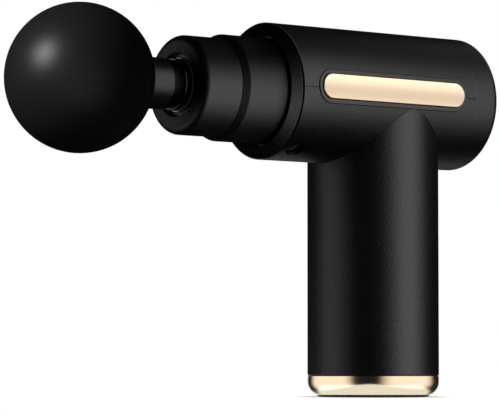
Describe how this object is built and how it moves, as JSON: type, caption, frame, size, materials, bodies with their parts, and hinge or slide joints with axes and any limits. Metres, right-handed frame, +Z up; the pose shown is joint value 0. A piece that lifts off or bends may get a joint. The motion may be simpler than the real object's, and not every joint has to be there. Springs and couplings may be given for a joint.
{
  "type": "massage gun",
  "caption": "Mini percussion massage gun: round handle, cross barrel with stepped nose, sliding plunger and pull-off ball head, metallic side strips and base ring.",
  "frame": {"origin": "centre of the flat underside of the base, on the handle axis", "axes": "+X along the plunger towards the head, +Z up the handle axis, +Y to the left of a user looking along +X"},
  "size_m": [0.1882, 0.0484, 0.1264],
  "materials": {
    "shell": "matte, fine grain",
    "bezel": "satin",
    "nose": "satin",
    "bush": "plain",
    "panel": "gloss",
    "button": "satin",
    "led": "diffusing",
    "frame_trim": "satin",
    "strip": "satin champagne gold",
    "base_metal": "polished rose gold",
    "inner_plastic": "plain",
    "pad": "matte",
    "screw": "blackened",
    "socket_metal": "plated",
    "contact": "plain",
    "board": "coated",
    "switch": "plain",
    "cell_wrap": "heat-shrink wrapped",
    "link": "nickel",
    "motor_metal": "machined",
    "bearing": "ground",
    "stator": "laminated",
    "winding": "enamelled copper",
    "magnet": "plated",
    "shaft": "ground",
    "crank": "machined",
    "weight": "machined",
    "rod": "machined",
    "plunger": "polished",
    "wire": "silicone insulation",
    "ball": "satin",
    "core": "satin",
    "washer": "polished",
    "rubber_ring": "soft"
  },
  "bodies": {
    "housing": {"barrel_lower_shell": "shell", "barrel_upper_shell": "shell", "base_insert": "inner_plastic", "base_ring": "base_metal", "base_screws": "screw", "battery_cell_front": "cell_wrap", "battery_cell_left": "cell_wrap", "battery_cell_right": "cell_wrap", "battery_tray_lower": "inner_plastic", "battery_tray_upper": "inner_plastic", "button_switch": "switch", "cell_links": "link", "charge_leads": "wire", "charging_board": "board", "charging_socket": "socket_metal", "control_board": "board", "control_panel": "panel", "foot_pad": "pad", "front_bezel": "bezel", "handle_tube": "shell", "housing_screws": "screw", "led_windows": "led", "motor_bearings": "bearing", "motor_can": "motor_metal", "motor_coils": "winding", "motor_end_plate": "motor_metal", "motor_leads": "wire", "motor_mount": "motor_metal", "nose_sleeve": "nose", "nose_tube": "nose", "plunger_bush": "bush", "rear_cap": "shell", "socket_tongue": "contact", "stator_core": "stator", "strip_frame_left": "frame_trim", "strip_frame_right": "frame_trim", "trim_strip_left": "strip", "trim_strip_right": "strip"},
    "rotor": {"rotor_magnet": "magnet", "motor_shaft": "shaft", "crank_disc": "crank", "counterweight": "weight"},
    "rod": {"connecting_rod": "rod", "rod_bearing": "bearing", "crank_pin": "shaft"},
    "plunger": {"plunger": "plunger", "wrist_pin": "shaft"},
    "head": {"massage_ball": "ball", "head_core": "core", "head_washer": "washer", "stem_ring": "rubber_ring"},
    "button": {"power_button": "button"}
  },
  "joints": [
    {"name": "rotor_spin", "type": "hinge", "parent": "housing", "child": "rotor", "pos_m": [0, 0, 0.0974], "axis": [0, 0, 1], "continuous": true},
    {"name": "plunger_slide", "type": "slide", "parent": "housing", "child": "plunger", "axis": [1, 0, 0], "range_m": [0, 0.007]},
    {"name": "rod_swing", "type": "hinge", "parent": "plunger", "child": "rod", "pos_m": [0.031, 0, 0.1022], "axis": [0, 0, 1], "range_deg": [-5.8, 5.8]},
    {"name": "head_pull", "type": "slide", "parent": "plunger", "child": "head", "axis": [1, 0, 0], "range_m": [0, 0.022]},
    {"name": "button_press", "type": "slide", "parent": "housing", "child": "button", "axis": [1, 0, 0], "range_m": [0, 0.0008], "stiffness_N_per_m": 400}
  ]
}
